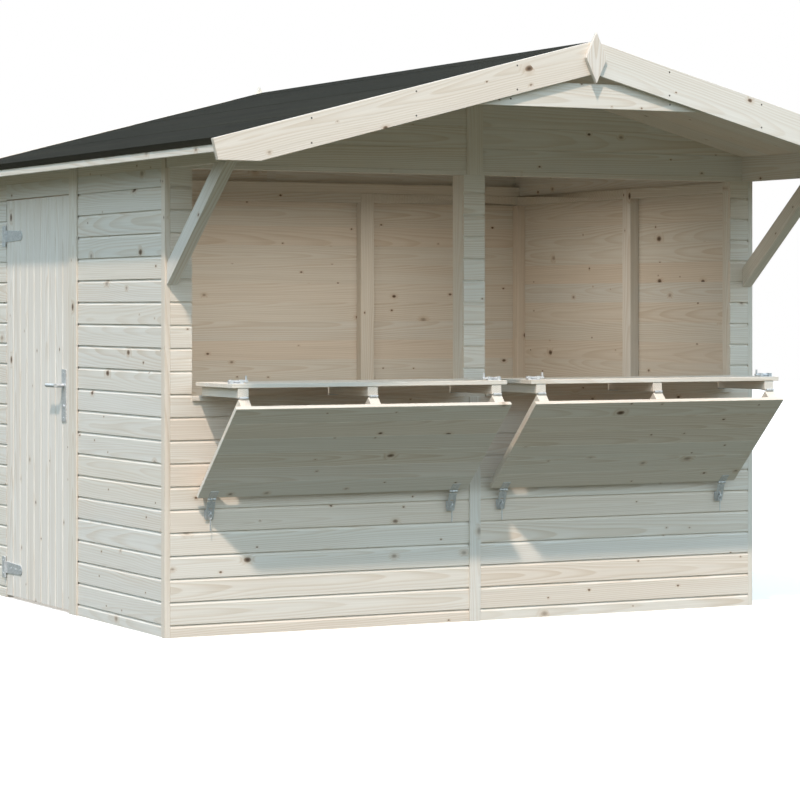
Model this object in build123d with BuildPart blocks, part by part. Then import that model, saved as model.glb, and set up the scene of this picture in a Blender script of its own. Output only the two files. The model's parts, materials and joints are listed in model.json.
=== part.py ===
from build123d import *
import os
from math import acos, cos, radians, sin, tan

# A market stall of planed softwood: clad walls on a light stud frame, a low gable roof that reaches out
# over the customers, a side door, and two serving openings. Each opening closes with a shutter in two
# hinged parts: the lower part swings out to make the counter, and the upper part folds back under it
# as a prop and is held at the wall by hasps.
# Millimetres. X runs along the serving front, +Y from front to back, +Z up.
# The origin is at ground level, under the middle of the roof.

# Overall sizes
wall_width = 2754           # over the corner battens
wall_depth = 1980
wall_height = 1830          # ground to the underside of the eave beams
roof_pitch = 14.57          # degrees
side_overhang = 157         # wall to eave, level
barge_overhang = 213        # wall to the ends of the barge boards, level
front_overhang = 943        # front wall to the face of the barge boards
back_overhang = 111

# Wall timber
cladding = 16
stud_width = 45
stud_depth = 45
front_stud_depth = 80
broad_stud_width = 70
rail_height = 45
trim_proud = 8              # corner battens and cover strips stand out from the cladding
corner_batten_side = 36
cover_strip_width = 52
gable_strip_width = 75
door_post_strip_width = 86
back_stud_offset = 485      # middle of the back wall to a stud
side_stud_offset = 915      # front wall to the stud in the right-hand wall

# Front openings
strip_width = 116           # wall corner to opening
post_width = 99
sill_top = 939.5
sill_thickness = 18

# Roof
deck_thickness = 20
felt_thickness = 4
felt_lip = 27.5
fascia_thickness = 18
fascia_show = 28
barge_width = 122
barge_thickness = 22
barge_end = 80
finial_height = 195
finial_width = 94
finial_thickness = 18
finial_rise = 32            # tip above the ridge
collar_drop = 256           # ridge to the collar's lower edge
collar_height = 94
collar_thickness = 18
eave_beam_width = 46
eave_beam_height = 93.3     # wall to the roof's underside, at the outer face
ridge_beam_width = 45
ridge_beam_height = 95
brace_thickness = 45
brace_reach = 458           # front wall to the brace's upper edge at the beam
brace_drop = 372            # beam to the brace's upper edge at the wall
brace_level_width = 106
brace_nose = 6

# Shutters
shutter_gap = 6             # beside the shutter in its opening
shutter_board = 16
shutter_batten_width = 45
shutter_batten_thickness = 38
shutter_batten_inset = 47   # shutter's end to the middle of a batten
shutter_axis_out = 18       # front wall to the counter's hinge
fold_share = 0.4064         # of the closed shutter's height, from the hinge up
fold_gap = 3
shutter_head_gap = 17       # closed shutter to the header
flap_foot_gap = 7
flap_batten_setback = 9

# Shutter hinges and hasps
leaf_thickness = 2.5
leaf_width = 36
leaf_length = 36
middle_knuckle_share = 0.333
knuckle_radius = 5
knuckle_gap = 0.5
bolt_plate_length = 60
bolt_plate_width = 28
bolt_plate_thickness = 2
bolt_radius = 5
bolt_lift = 1               # rod above its plate
bolt_length = 82
bolt_end_gap = 4
bolt_front_inset = 52       # fold to the middle of a bolt
bolt_guide_length = 14
bolt_guide_width = 18
bolt_guide_rise = 2         # guide above the rod
bolt_knob_radius = 4
bolt_knob_height = 22
bolt_knob_inset = 7         # rod's end to the middle of the knob
hasp_length = 85
hasp_plate_length = 45
hasp_inset = 62             # shutter's end to the middle of a hasp
hasp_tip_gap = 10
hasp_slot_width = 14
hasp_slot_length = 36
hasp_slot_end = 12
staple_plate_side = 32
staple_thickness = 5
staple_height = 15
staple_reach = 30
staple_eye_radius = 3.5
staple_setback = 13         # middle of the staple to the lower end of the slot

# Door
door_back_margin = 167      # doorway to the back wall
doorway_width = 785
door_head_height = 66       # doorway to the eave beam
door_gap = 5
door_bottom_gap = 12
door_ledge_height = 95
door_ledge_thickness = 20
door_ledge_inset = 100
door_brace_width = 95
door_ledge_height_shares = (0.09, 0.5, 0.91)
door_hinge_height_shares = (0.07, 0.91)
door_strap_length = 182
door_strap_height = 52
door_strap_tip = 42
door_strap_thickness = 3
door_plate_height = 92
door_plate_width = 34
door_knuckle_radius = 6
handle_inset = 65           # door's edge to the middle of the handle
handle_height = 915
handle_plate_width = 50
handle_plate_height = 220
handle_plate_thickness = 4
lever_rise = 42             # lever above the middle of its plate
lever_radius = 8
lever_length = 105
lever_stand = 40

# Places worked out from the sizes
roof_length = front_overhang + wall_depth + back_overhang
front_y = front_overhang - roof_length / 2
back_y = front_y + wall_depth
side_face = wall_width / 2 - trim_proud
side_inner = side_face - cladding
front_inner = front_y + cladding
back_inner = back_y - cladding
opening_inner = post_width / 2
opening_outer = wall_width / 2 - strip_width
sill_bottom = sill_top - sill_thickness
roof_front = barge_thickness - roof_length / 2
roof_back = -roof_front
roof_span = (roof_front, roof_back)
pitch = radians(roof_pitch)
eave_x = wall_width / 2 + side_overhang
barge_x = wall_width / 2 + barge_overhang
roof_rise = side_face * tan(pitch) + (deck_thickness + felt_thickness) / cos(pitch)
ridge_height = wall_height + eave_beam_height + roof_rise
sides = {"left": -1, "right": 1}


def roof_top(x):
    """Height of the felt's upper face at x."""
    return ridge_height - abs(x) * tan(pitch)


def deck_top(x):
    return roof_top(x) - felt_thickness / cos(pitch)


def soffit(x):
    """Height of the roof's underside at x."""
    return deck_top(x) - deck_thickness / cos(pitch)


def span_on(sign, near, far):
    """The span from near to far of the middle, on the side that sign gives."""
    return min(sign * near, sign * far), max(sign * near, sign * far)


def block(x_span, y_span, z_span):
    """Add a squared timber or board that fills three spans."""
    spans = (x_span, y_span, z_span)
    with Locations(tuple(sum(span) / 2 for span in spans)):
        Box(*(span[1] - span[0] for span in spans))


def outline_along_y(points, y_span):
    """Add a board with an outline of (x, z) points."""
    with BuildSketch(Plane.XZ.offset(-y_span[0])) as outline:
        with BuildLine():
            Polyline(*points, close=True)
        make_face()
    extrude(outline.sketch, amount=y_span[0] - y_span[1])


def outline_along_x(points, x_span):
    """Add a board with an outline of (y, z) points."""
    with BuildSketch(Plane.YZ.offset(x_span[0])) as outline:
        with BuildLine():
            Polyline(*points, close=True)
        make_face()
    extrude(outline.sketch, amount=x_span[1] - x_span[0])


def rod_along_x(centre, radius, x_span):
    with BuildSketch(Plane.YZ.offset(x_span[0])) as section:
        with Locations(centre):
            Circle(radius)
    extrude(section.sketch, amount=x_span[1] - x_span[0])


def keep(piece, name):
    """Label a finished piece and write it."""
    piece.part.label = name
    export_step(piece.part, f"parts/{name}.step")


os.makedirs("parts", exist_ok=True)

# Cladding of the front wall
for side, sign in sides.items():
    with BuildPart() as front_low_wall:
        block(span_on(sign, 0, side_inner), (front_y, front_inner), (0, sill_bottom))
    keep(front_low_wall, f"front_low_wall_{side}")

with BuildPart() as front_strips:
    strip_height = (sill_bottom, wall_height)
    for sign in sides.values():
        block(span_on(sign, opening_outer, side_inner), (front_y, front_inner), strip_height)
    block((-opening_inner, opening_inner), (front_y, front_inner), strip_height)
keep(front_strips, "front_strips")

with BuildPart() as serving_sills:
    for sign in sides.values():
        sill_front = front_y - shutter_axis_out + knuckle_radius + 2 * knuckle_gap
        sill_depth = (sill_front, front_inner + front_stud_depth)
        block(span_on(sign, opening_inner, opening_outer), sill_depth, (sill_bottom, sill_top))
keep(serving_sills, "serving_sills")

# Gables, notched for the ridge beam
ridge_beam_bottom = soffit(0) - ridge_beam_height
gable_reach = side_face - eave_beam_width
ridge_half = ridge_beam_width / 2
gable_outline = [
    (-gable_reach, wall_height), (-gable_reach, soffit(gable_reach)),
    (-ridge_half, soffit(ridge_half)), (-ridge_half, ridge_beam_bottom),
    (ridge_half, ridge_beam_bottom), (ridge_half, soffit(ridge_half)),
    (gable_reach, soffit(gable_reach)), (gable_reach, wall_height),
]
gable_spans = {"front_gable": (front_y, front_inner), "back_gable": (back_inner, back_y)}
for name, y_span in gable_spans.items():
    with BuildPart() as gable:
        outline_along_y(gable_outline, y_span)
    keep(gable, name)

# Cladding of the back and the sides
with BuildPart() as back_wall:
    block((-side_inner, side_inner), (back_inner, back_y), (0, wall_height))
keep(back_wall, "back_wall")

side_start = front_y + corner_batten_side
side_end = back_y - corner_batten_side
doorway_end = back_y - door_back_margin
doorway = (doorway_end - doorway_width, doorway_end)
doorway_height = wall_height - door_head_height
left_skin = (-side_face, -side_inner)

with BuildPart() as left_wall:
    block(left_skin, (side_start, doorway[0]), (0, wall_height))
    block(left_skin, (doorway[1], side_end), (0, wall_height))
keep(left_wall, "left_wall")

with BuildPart() as door_head:
    block(left_skin, doorway, (doorway_height, wall_height))
keep(door_head, "door_head")

with BuildPart() as right_wall:
    block((side_inner, side_face), (side_start, side_end), (0, wall_height))
keep(right_wall, "right_wall")

# Battens at the corners and strips over the joints in the cladding
strip_top = soffit(wall_width / 2)
with BuildPart() as corner_battens:
    for sign in sides.values():
        for y_span in ((front_y, side_start), (side_end, back_y)):
            block(span_on(sign, side_inner, wall_width / 2), y_span, (0, wall_height))
            block(span_on(sign, side_face, wall_width / 2), y_span, (wall_height, strip_top))
keep(corner_battens, "corner_battens")

with BuildPart() as cover_strips:
    half_strip = cover_strip_width / 2
    half_gable_strip = gable_strip_width / 2
    block((-half_strip, half_strip), (front_y - trim_proud, front_y), (0, sill_bottom))
    gable_strip = (-half_gable_strip, half_gable_strip)
    block(gable_strip, (front_y - trim_proud, front_y), (wall_height, ridge_beam_bottom))
    block(gable_strip, (back_y, back_y + trim_proud), (0, ridge_beam_bottom))
    side_joint = front_y + side_stud_offset
    block((side_face, wall_width / 2), (side_joint - half_strip, side_joint + half_strip), (0, strip_top))
    post_strip = (doorway[0] - door_post_strip_width, doorway[0])
    block((-wall_width / 2, -side_face), post_strip, (0, strip_top))
keep(cover_strips, "cover_strips")

# Studs and rails behind the cladding
front_frame = (front_inner, front_inner + front_stud_depth)
front_corner = (front_inner, front_inner + stud_depth)
back_frame = (back_inner - stud_depth, back_inner)
bottom_rail = (0, rail_height)
top_rail = (wall_height - rail_height, wall_height)
frame_reach = side_inner - stud_depth
corner_stud = side_inner - stud_width
back_stud = (back_stud_offset - broad_stud_width / 2, back_stud_offset + broad_stud_width / 2)
side_stud = (side_joint - broad_stud_width / 2, side_joint + broad_stud_width / 2)
jambs = ((doorway[0] - stud_width, doorway[0]), (doorway[1], doorway[1] + stud_width))
full_height = (0, wall_height)

with BuildPart() as wall_studs:
    block((-opening_inner, opening_inner), front_frame, full_height)
    for sign in sides.values():
        block(span_on(sign, opening_outer, side_inner), front_corner, full_height)
        block(span_on(sign, corner_stud, side_inner), back_frame, full_height)
        block(span_on(sign, *back_stud), back_frame, full_height)
    for jamb in jambs:
        block((-side_inner, -frame_reach), jamb, full_height)
    block((frame_reach, side_inner), side_stud, full_height)
keep(wall_studs, "wall_studs")

with BuildPart() as wall_rails:
    for sign in sides.values():
        for z_span in (bottom_rail, (sill_bottom - rail_height, sill_bottom)):
            block(span_on(sign, opening_inner, opening_outer), front_frame, z_span)
    for z_span in (bottom_rail, top_rail):
        block((-back_stud[0], back_stud[0]), back_frame, z_span)
        for sign in sides.values():
            block(span_on(sign, back_stud[1], corner_stud), back_frame, z_span)
        block((-side_inner, -frame_reach), (front_corner[1], jambs[0][0]), z_span)
        block((-side_inner, -frame_reach), (jambs[1][1], back_frame[0]), z_span)
        block((frame_reach, side_inner), (front_corner[1], side_stud[0]), z_span)
        block((frame_reach, side_inner), (side_stud[1], back_frame[0]), z_span)
    block((-side_inner, -frame_reach), doorway, top_rail)
keep(wall_rails, "wall_rails")

with BuildPart() as gable_rails:
    for y_span in (front_corner, back_frame):
        block((-gable_reach, gable_reach), y_span, (wall_height, wall_height + rail_height))
keep(gable_rails, "gable_rails")

# Roof timbers
with BuildPart() as roof_beams:
    for sign in sides.values():
        eave_beam_outline = [
            (sign * side_face, wall_height), (sign * side_face, soffit(side_face)),
            (sign * gable_reach, soffit(gable_reach)), (sign * gable_reach, wall_height),
        ]
        outline_along_y(eave_beam_outline, roof_span)
    ridge_beam_outline = [
        (-ridge_half, ridge_beam_bottom), (-ridge_half, soffit(ridge_half)), (0, soffit(0)),
        (ridge_half, soffit(ridge_half)), (ridge_half, ridge_beam_bottom),
    ]
    outline_along_y(ridge_beam_outline, roof_span)
keep(roof_beams, "roof_beams")

with BuildPart() as braces:
    brace_tip = front_y - brace_reach - brace_level_width
    brace_foot = wall_height - (brace_reach + brace_level_width - brace_nose) * brace_drop / brace_reach
    brace_outline = [
        (front_y, wall_height - brace_drop), (front_y - brace_reach, wall_height), (brace_tip, wall_height),
        (front_y - brace_nose, brace_foot), (front_y, brace_foot),
    ]
    for sign in sides.values():
        outline_along_x(brace_outline, span_on(sign, side_face - brace_thickness, side_face))
keep(braces, "braces")

fascia_face = eave_x - felt_thickness
fascia_back = fascia_face - fascia_thickness
fascia_bottom = roof_top(eave_x) - felt_lip - fascia_show
for side, sign in sides.items():
    with BuildPart() as roof_deck:
        deck_outline = [
            (0, deck_top(0)), (sign * fascia_back, deck_top(fascia_back)),
            (sign * fascia_back, soffit(fascia_back)), (0, soffit(0)),
        ]
        outline_along_y(deck_outline, roof_span)
    keep(roof_deck, f"roof_deck_{side}")

    with BuildPart() as roof_felt:
        felt_outline = [
            (0, roof_top(0)), (sign * eave_x, roof_top(eave_x)),
            (sign * eave_x, roof_top(eave_x) - felt_lip), (sign * fascia_face, roof_top(eave_x) - felt_lip),
            (sign * fascia_face, deck_top(fascia_face)), (0, deck_top(0)),
        ]
        outline_along_y(felt_outline, roof_span)
    keep(roof_felt, f"roof_felt_{side}")

with BuildPart() as fascias:
    for sign in sides.values():
        fascia_outline = [
            (sign * fascia_back, deck_top(fascia_back)), (sign * fascia_face, deck_top(fascia_face)),
            (sign * fascia_face, fascia_bottom), (sign * fascia_back, fascia_bottom),
        ]
        outline_along_y(fascia_outline, roof_span)
keep(fascias, "fascias")

# Barge boards, with a square end that is cut level below
barge_drop = barge_width / cos(pitch)
barge_foot = roof_top(barge_x) - barge_end * cos(pitch)
barge_foot_x = (ridge_height - barge_drop - barge_foot) / tan(pitch)
barge_spans = {"front": (-roof_length / 2, roof_front), "back": (roof_back, roof_length / 2)}
for end, y_span in barge_spans.items():
    for side, sign in sides.items():
        with BuildPart() as barge:
            barge_outline = [
                (0, ridge_height), (sign * barge_x, roof_top(barge_x)),
                (sign * (barge_x - barge_end * sin(pitch)), barge_foot),
                (sign * barge_foot_x, barge_foot), (0, ridge_height - barge_drop),
            ]
            outline_along_y(barge_outline, y_span)
        keep(barge, f"{end}_barge_{side}")

with BuildPart() as finials:
    finial_tip = ridge_height + finial_rise
    finial_middle = finial_tip - finial_height / 2
    finial_outline = [
        (0, finial_tip), (finial_width / 2, finial_middle),
        (0, finial_tip - finial_height), (-finial_width / 2, finial_middle),
    ]
    outline_along_y(finial_outline, (-roof_length / 2 - finial_thickness, -roof_length / 2))
    outline_along_y(finial_outline, (roof_length / 2, roof_length / 2 + finial_thickness))
keep(finials, "finials")

with BuildPart() as collar_board:
    collar_bottom = ridge_height - collar_drop
    collar_top = collar_bottom + collar_height
    collar_reach = [(soffit(0) - height) / tan(pitch) for height in (collar_bottom, collar_top)]
    collar_outline = [
        (-collar_reach[0], collar_bottom), (-collar_reach[1], collar_top),
        (collar_reach[1], collar_top), (collar_reach[0], collar_bottom),
    ]
    outline_along_y(collar_outline, (roof_front, roof_front + collar_thickness))
keep(collar_board, "collar_board")

# Hinge leaves: a plate with knuckles on the hinge line, which lies in the plate's face
knuckle_half = middle_knuckle_share * leaf_width / 2
middle_knuckle = (-knuckle_half, knuckle_half)
outer_knuckles = (
    (-leaf_width / 2, -knuckle_half - knuckle_gap),
    (knuckle_half + knuckle_gap, leaf_width / 2),
)
leaf_root = 2 * knuckle_radius


def hinge_leaf(axis, along, face, middle_x, length, knuckles):
    """Add a leaf that runs from the axis, a (y, z) point, the way along gives, with its thickness on face."""
    def place(run, thickness):
        return tuple(axis[i] + along[i] * run + face[i] * thickness for i in (0, 1))

    def plate(start, end):
        return [place(start, 0), place(end, 0), place(end, leaf_thickness), place(start, leaf_thickness)]

    outline_along_x(plate(leaf_root, length), (middle_x - leaf_width / 2, middle_x + leaf_width / 2))
    for knuckle in knuckles:
        x_span = (middle_x + knuckle[0], middle_x + knuckle[1])
        outline_along_x(plate(0, leaf_root), x_span)
        rod_along_x(axis, knuckle_radius, x_span)


# The shutters: hinge lines, then the counter flat and the flap folded back to the wall
axis_y = front_y - shutter_axis_out
axis_z = sill_top + leaf_thickness
shutter_height = wall_height - shutter_head_gap - axis_z
counter_reach = fold_share * shutter_height
fold_y = axis_y - counter_reach
shutter_width = opening_outer - opening_inner - 2 * shutter_gap
shutter_middle = (opening_inner + opening_outer) / 2
shutter_half = shutter_width / 2
flap_length = shutter_height - counter_reach
batten_clear = knuckle_radius + 2 * knuckle_gap
flap_batten_end = flap_length - flap_batten_setback
flap_slope = acos((counter_reach + shutter_axis_out - flap_foot_gap) / flap_batten_end)
flap_along = (cos(flap_slope), -sin(flap_slope))
flap_out = (-sin(flap_slope), -cos(flap_slope))
flap_back = (-flap_out[0], -flap_out[1])
shutter_depth = shutter_batten_thickness + shutter_board
backward, forward, downward = (1, 0), (-1, 0), (0, -1)


def flap_point(run, depth):
    """A (y, z) point of the flap: run from the fold, depth from the outer face of its battens."""
    return (
        fold_y + flap_along[0] * run + flap_out[0] * depth,
        axis_z + flap_along[1] * run + flap_out[1] * depth,
    )


def flap_outline(run_span, depth_span):
    corners = [(0, 0), (1, 0), (1, 1), (0, 1)]
    return [flap_point(run_span[i], depth_span[j]) for i, j in corners]


hasp_axis = flap_point(flap_length + batten_clear, shutter_depth + leaf_thickness)
hasp_stand = front_y - hasp_axis[0]
hasp_slope = acos((hasp_stand - hasp_tip_gap) / hasp_length)
hasp_along = (cos(hasp_slope), -sin(hasp_slope))
hasp_back = (sin(hasp_slope), cos(hasp_slope))
slot_end = hasp_length - hasp_slot_end

for side, sign in sides.items():
    middle = sign * shutter_middle
    ends = (middle - shutter_half, middle + shutter_half)
    batten_middles = (ends[0] + shutter_batten_inset, middle, ends[1] - shutter_batten_inset)
    batten_spans = [
        (place - shutter_batten_width / 2, place + shutter_batten_width / 2) for place in batten_middles
    ]
    hasp_middles = {"outer": sign * (shutter_middle + shutter_half - hasp_inset),
                    "inner": sign * (shutter_middle - shutter_half + hasp_inset)}
    board_bottom = axis_z + shutter_batten_thickness
    board_top = board_bottom + shutter_board

    with BuildPart() as counter_board:
        block(ends, (fold_y + fold_gap, axis_y - fold_gap), (board_bottom, board_top))
    keep(counter_board, f"counter_board_{side}")

    with BuildPart() as counter_battens:
        for x_span in batten_spans:
            block(x_span, (fold_y + batten_clear, axis_y - batten_clear), (axis_z, board_bottom))
    keep(counter_battens, f"counter_battens_{side}")

    with BuildPart() as counter_hinges:
        for x in batten_middles:
            hinge_leaf((axis_y, axis_z), forward, downward, x, leaf_length, [middle_knuckle])
            hinge_leaf((fold_y, axis_z), backward, downward, x, leaf_length, outer_knuckles)
    keep(counter_hinges, f"counter_hinges_{side}")

    with BuildPart() as counter_bolts:
        bolt_y = fold_y + bolt_front_inset
        bolt_z = board_top + bolt_plate_thickness + bolt_lift + bolt_radius
        plate_y = (bolt_y - bolt_plate_width / 2, bolt_y + bolt_plate_width / 2)
        plate_z = (board_top, board_top + bolt_plate_thickness)
        guide_y = (bolt_y - bolt_guide_width / 2, bolt_y + bolt_guide_width / 2)
        guide_z = (board_top, bolt_z + bolt_radius + bolt_guide_rise)
        for end, inward in ((ends[0], 1), (ends[1], -1)):
            tip = end + inward * bolt_end_gap
            knob = tip + inward * bolt_length
            plate_start, plate_end = tip + inward * bolt_end_gap, tip + inward * bolt_plate_length
            block(sorted((plate_start, plate_end)), plate_y, plate_z)
            block(sorted((plate_start, plate_start + inward * bolt_guide_length)), guide_y, guide_z)
            block(sorted((plate_end, plate_end - inward * bolt_guide_length)), guide_y, guide_z)
            rod_along_x((bolt_y, bolt_z), bolt_radius, sorted((tip, knob)))
            with Locations((knob - inward * bolt_knob_inset, bolt_y, bolt_z + bolt_knob_height / 2)):
                Cylinder(bolt_knob_radius, bolt_knob_height)
    keep(counter_bolts, f"counter_bolts_{side}")

    with BuildPart() as flap_board:
        board_depth = (shutter_batten_thickness, shutter_depth)
        outline_along_x(flap_outline((fold_gap, flap_length), board_depth), ends)
    keep(flap_board, f"flap_board_{side}")

    with BuildPart() as flap_battens:
        flap_batten = flap_outline((batten_clear, flap_batten_end), (0, shutter_batten_thickness))
        for x_span in batten_spans:
            outline_along_x(flap_batten, x_span)
    keep(flap_battens, f"flap_battens_{side}")

    with BuildPart() as flap_hinges:
        for x in batten_middles:
            hinge_leaf((fold_y, axis_z), flap_along, flap_back, x, leaf_length, [middle_knuckle])
        flap_upward = (-flap_along[0], -flap_along[1])
        for x in hasp_middles.values():
            hinge_leaf(hasp_axis, flap_upward, flap_back, x, hasp_plate_length, outer_knuckles)
    keep(flap_hinges, f"flap_hinges_{side}")

    # Each hasp: a slotted leaf on its own knuckle
    for place, x in hasp_middles.items():
        with BuildPart() as hasp:
            hinge_leaf(hasp_axis, hasp_along, hasp_back, x, hasp_length, [middle_knuckle])
            slot_outline = []
            for run, depth in ((-1, -1), (0, -1), (0, 1), (-1, 1)):
                slot_outline.append(tuple(
                    hasp_axis[i] + hasp_along[i] * (slot_end + run * hasp_slot_length)
                    + hasp_back[i] * depth * knuckle_radius for i in (0, 1)))
            with BuildSketch(Plane.YZ.offset(x - hasp_slot_width / 2)):
                with BuildLine():
                    Polyline(*slot_outline, close=True)
                make_face()
            extrude(amount=hasp_slot_width, mode=Mode.SUBTRACT)
        keep(hasp, f"hasp_{side}_{place}")

# Fittings on the front wall: the sill's hinge leaves, and the eyed staples that the hasps drop over
with BuildPart() as sill_hinges:
    for sign in sides.values():
        middle = sign * shutter_middle
        reach = shutter_half - shutter_batten_inset
        for x in (middle - reach, middle, middle + reach):
            hinge_leaf((axis_y, axis_z), backward, downward, x, leaf_length, outer_knuckles)
keep(sill_hinges, "sill_hinges")

staple_z = hasp_axis[1] + hasp_along[1] * (slot_end - staple_setback)
staple_middles = [
    sign * (shutter_middle - shutter_half + offset)
    for sign in sides.values() for offset in (hasp_inset, shutter_width - hasp_inset)
]

with BuildPart() as staple_plates:
    half_plate = staple_plate_side / 2
    for x in staple_middles:
        block((x - half_plate, x + half_plate), (front_y - leaf_thickness, front_y),
              (staple_z - half_plate, staple_z + half_plate))
keep(staple_plates, "staple_plates")

with BuildPart() as hasp_staples:
    staple_root = front_y - leaf_thickness
    half_staple = staple_height / 2
    nose_y = front_y - staple_reach + half_staple
    for x in staple_middles:
        with BuildSketch(Plane.YZ.offset(x - staple_thickness / 2)) as staple:
            with BuildLine():
                edge = Polyline(
                    (nose_y, staple_z - half_staple), (staple_root, staple_z - half_staple),
                    (staple_root, staple_z + half_staple), (nose_y, staple_z + half_staple))
                ThreePointArc(edge @ 1, (nose_y - half_staple, staple_z), edge @ 0)
            make_face()
            with Locations((nose_y, staple_z)):
                Circle(staple_eye_radius, mode=Mode.SUBTRACT)
        extrude(amount=staple_thickness)
keep(hasp_staples, "hasp_staples")

# The door in the left-hand wall, with ledges and braces inside
door_edges = (doorway[0] + door_gap, doorway[1] - door_gap)
door_ends = (door_bottom_gap, doorway_height - door_gap)
door_height = door_ends[1] - door_ends[0]

with BuildPart() as door_leaf:
    block(left_skin, door_edges, door_ends)
keep(door_leaf, "door_leaf")

with BuildPart() as door_ledges:
    ledge_x = (-side_inner, -side_inner + door_ledge_thickness)
    ledge_y = (door_edges[0] + door_ledge_inset, door_edges[1] - door_ledge_inset)
    ledge_middles = [door_ends[0] + share * door_height for share in door_ledge_height_shares]
    half_ledge = door_ledge_height / 2
    for height in ledge_middles:
        block(ledge_x, ledge_y, (height - half_ledge, height + half_ledge))
keep(door_ledges, "door_ledges")

with BuildPart() as door_braces:
    for low, high in zip(ledge_middles, ledge_middles[1:]):
        brace_ends = [
            (ledge_y[1], low + half_ledge), (ledge_y[1] - door_brace_width, low + half_ledge),
            (ledge_y[0], high - half_ledge), (ledge_y[0] + door_brace_width, high - half_ledge),
        ]
        outline_along_x(brace_ends, ledge_x)
keep(door_braces, "door_braces")

door_axis = (-side_face - door_knuckle_radius, doorway[1] - door_gap / 2)
hinge_heights = [door_ends[0] + share * door_height for share in door_hinge_height_shares]
strap_x = (-side_face - door_strap_thickness, -side_face)


def knuckle_on_door(z_span):
    with Locations((*door_axis, sum(z_span) / 2)):
        Cylinder(door_knuckle_radius, z_span[1] - z_span[0])


def link_to_knuckle(y_end, z_span):
    """Add the bent end of a hinge plate, which reaches the hinge line from y_end."""
    y_span = sorted((door_axis[1], y_end))
    block((-side_face - door_knuckle_radius, -side_face), y_span, z_span)


with BuildPart() as door_straps:
    for height in hinge_heights:
        root_y = door_axis[1] - 2 * door_knuckle_radius
        tip_y = door_axis[1] - door_strap_length
        half_root, half_tip = door_strap_height / 2, door_strap_tip / 2
        with BuildSketch(Plane.YZ.offset(strap_x[0])):
            with BuildLine():
                edge = Polyline(
                    (tip_y, height - half_tip), (root_y, height - half_root),
                    (root_y, height + half_root), (tip_y, height + half_tip))
                ThreePointArc(edge @ 1, (tip_y - half_tip, height), edge @ 0)
            make_face()
        extrude(amount=door_strap_thickness)
        strap_knuckle = (height - half_root, height + half_root)
        link_to_knuckle(root_y, strap_knuckle)
        knuckle_on_door(strap_knuckle)
keep(door_straps, "door_straps")

with BuildPart() as door_hinge_plates:
    for height in hinge_heights:
        half_plate = door_plate_height / 2
        plate_start = doorway[1] + 2 * door_knuckle_radius
        plate_y = (plate_start, plate_start + door_plate_width)
        block(strap_x, plate_y, (height - half_plate, height + half_plate))
        knuckle_start = door_strap_height / 2 + knuckle_gap
        for sign in sides.values():
            z_span = sorted((height + sign * knuckle_start, height + sign * half_plate))
            link_to_knuckle(plate_start, z_span)
            knuckle_on_door(z_span)
keep(door_hinge_plates, "door_hinge_plates")

with BuildPart() as door_handle:
    handle_y = door_edges[0] + handle_inset
    lever_z = handle_height + lever_rise
    for face, outward in ((-side_face, -1), (-side_inner, 1)):
        plate_face = face + outward * handle_plate_thickness
        lever_x = plate_face + outward * lever_stand
        half_width, half_height = handle_plate_width / 2, handle_plate_height / 2
        block(sorted((face, plate_face)), (handle_y - half_width, handle_y + half_width),
              (handle_height - half_height, handle_height + half_height))
        rod_along_x((handle_y, lever_z), lever_radius, sorted((face, lever_x)))
        with BuildSketch(Plane.XZ.offset(lever_radius - handle_y)):
            with Locations((lever_x, lever_z)):
                Circle(lever_radius)
        extrude(amount=-lever_length)
keep(door_handle, "door_handle")
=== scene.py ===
import json
import random
from math import ceil, floor, pi, radians

import bmesh
import bpy
import numpy as np
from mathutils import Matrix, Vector

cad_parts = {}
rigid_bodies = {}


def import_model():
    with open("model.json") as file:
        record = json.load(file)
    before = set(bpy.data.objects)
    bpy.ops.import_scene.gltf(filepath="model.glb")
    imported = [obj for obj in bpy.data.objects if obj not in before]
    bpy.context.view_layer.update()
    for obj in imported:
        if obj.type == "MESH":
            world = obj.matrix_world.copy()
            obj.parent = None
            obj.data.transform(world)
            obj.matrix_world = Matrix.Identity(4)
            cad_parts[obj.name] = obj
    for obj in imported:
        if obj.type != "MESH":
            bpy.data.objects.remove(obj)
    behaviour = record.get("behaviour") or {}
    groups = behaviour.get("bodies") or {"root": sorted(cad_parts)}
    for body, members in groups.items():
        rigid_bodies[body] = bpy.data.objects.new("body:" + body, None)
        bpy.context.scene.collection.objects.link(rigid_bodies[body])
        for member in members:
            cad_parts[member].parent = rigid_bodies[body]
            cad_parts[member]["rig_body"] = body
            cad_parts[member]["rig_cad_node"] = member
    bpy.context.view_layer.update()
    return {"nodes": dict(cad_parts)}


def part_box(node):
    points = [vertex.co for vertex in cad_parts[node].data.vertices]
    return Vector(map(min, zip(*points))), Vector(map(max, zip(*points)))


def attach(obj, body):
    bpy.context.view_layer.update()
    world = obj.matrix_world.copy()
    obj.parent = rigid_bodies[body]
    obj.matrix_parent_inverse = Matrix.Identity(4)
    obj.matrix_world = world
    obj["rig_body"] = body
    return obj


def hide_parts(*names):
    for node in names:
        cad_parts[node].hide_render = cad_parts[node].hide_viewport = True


# The looks of a market stall of planed spruce: boards, roofing felt, fittings and screws on the frame.
# Metres, in the frame's own axes: X along the serving front, +Y to the back, +Z up.

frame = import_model()

# Cladding: each board's upper edge is cut back under the board above
board_pitch = 0.090
first_joint = 0.0495            # ground to the lowest joint
board_edge = 0.0007             # rounding of a planed edge
wall_joint = (0.0034, 0.0092, 0.0068)       # height of the shadow gap, height of the chamfer, depth
gable_joint = (0.0004, 0.0022, 0.0016)
plain_edge = 0.0011             # rounding where boards lie flush
door_board_count = 9
door_groove = 0.0055

# Weather bars on the sills, between the battens of the counters
bar_depth = 0.022
bar_rise = 0.0295
bar_clear = 0.002

# Timber and steel edges
timber_edge = 0.0022
steel_edge = 0.0006

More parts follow.
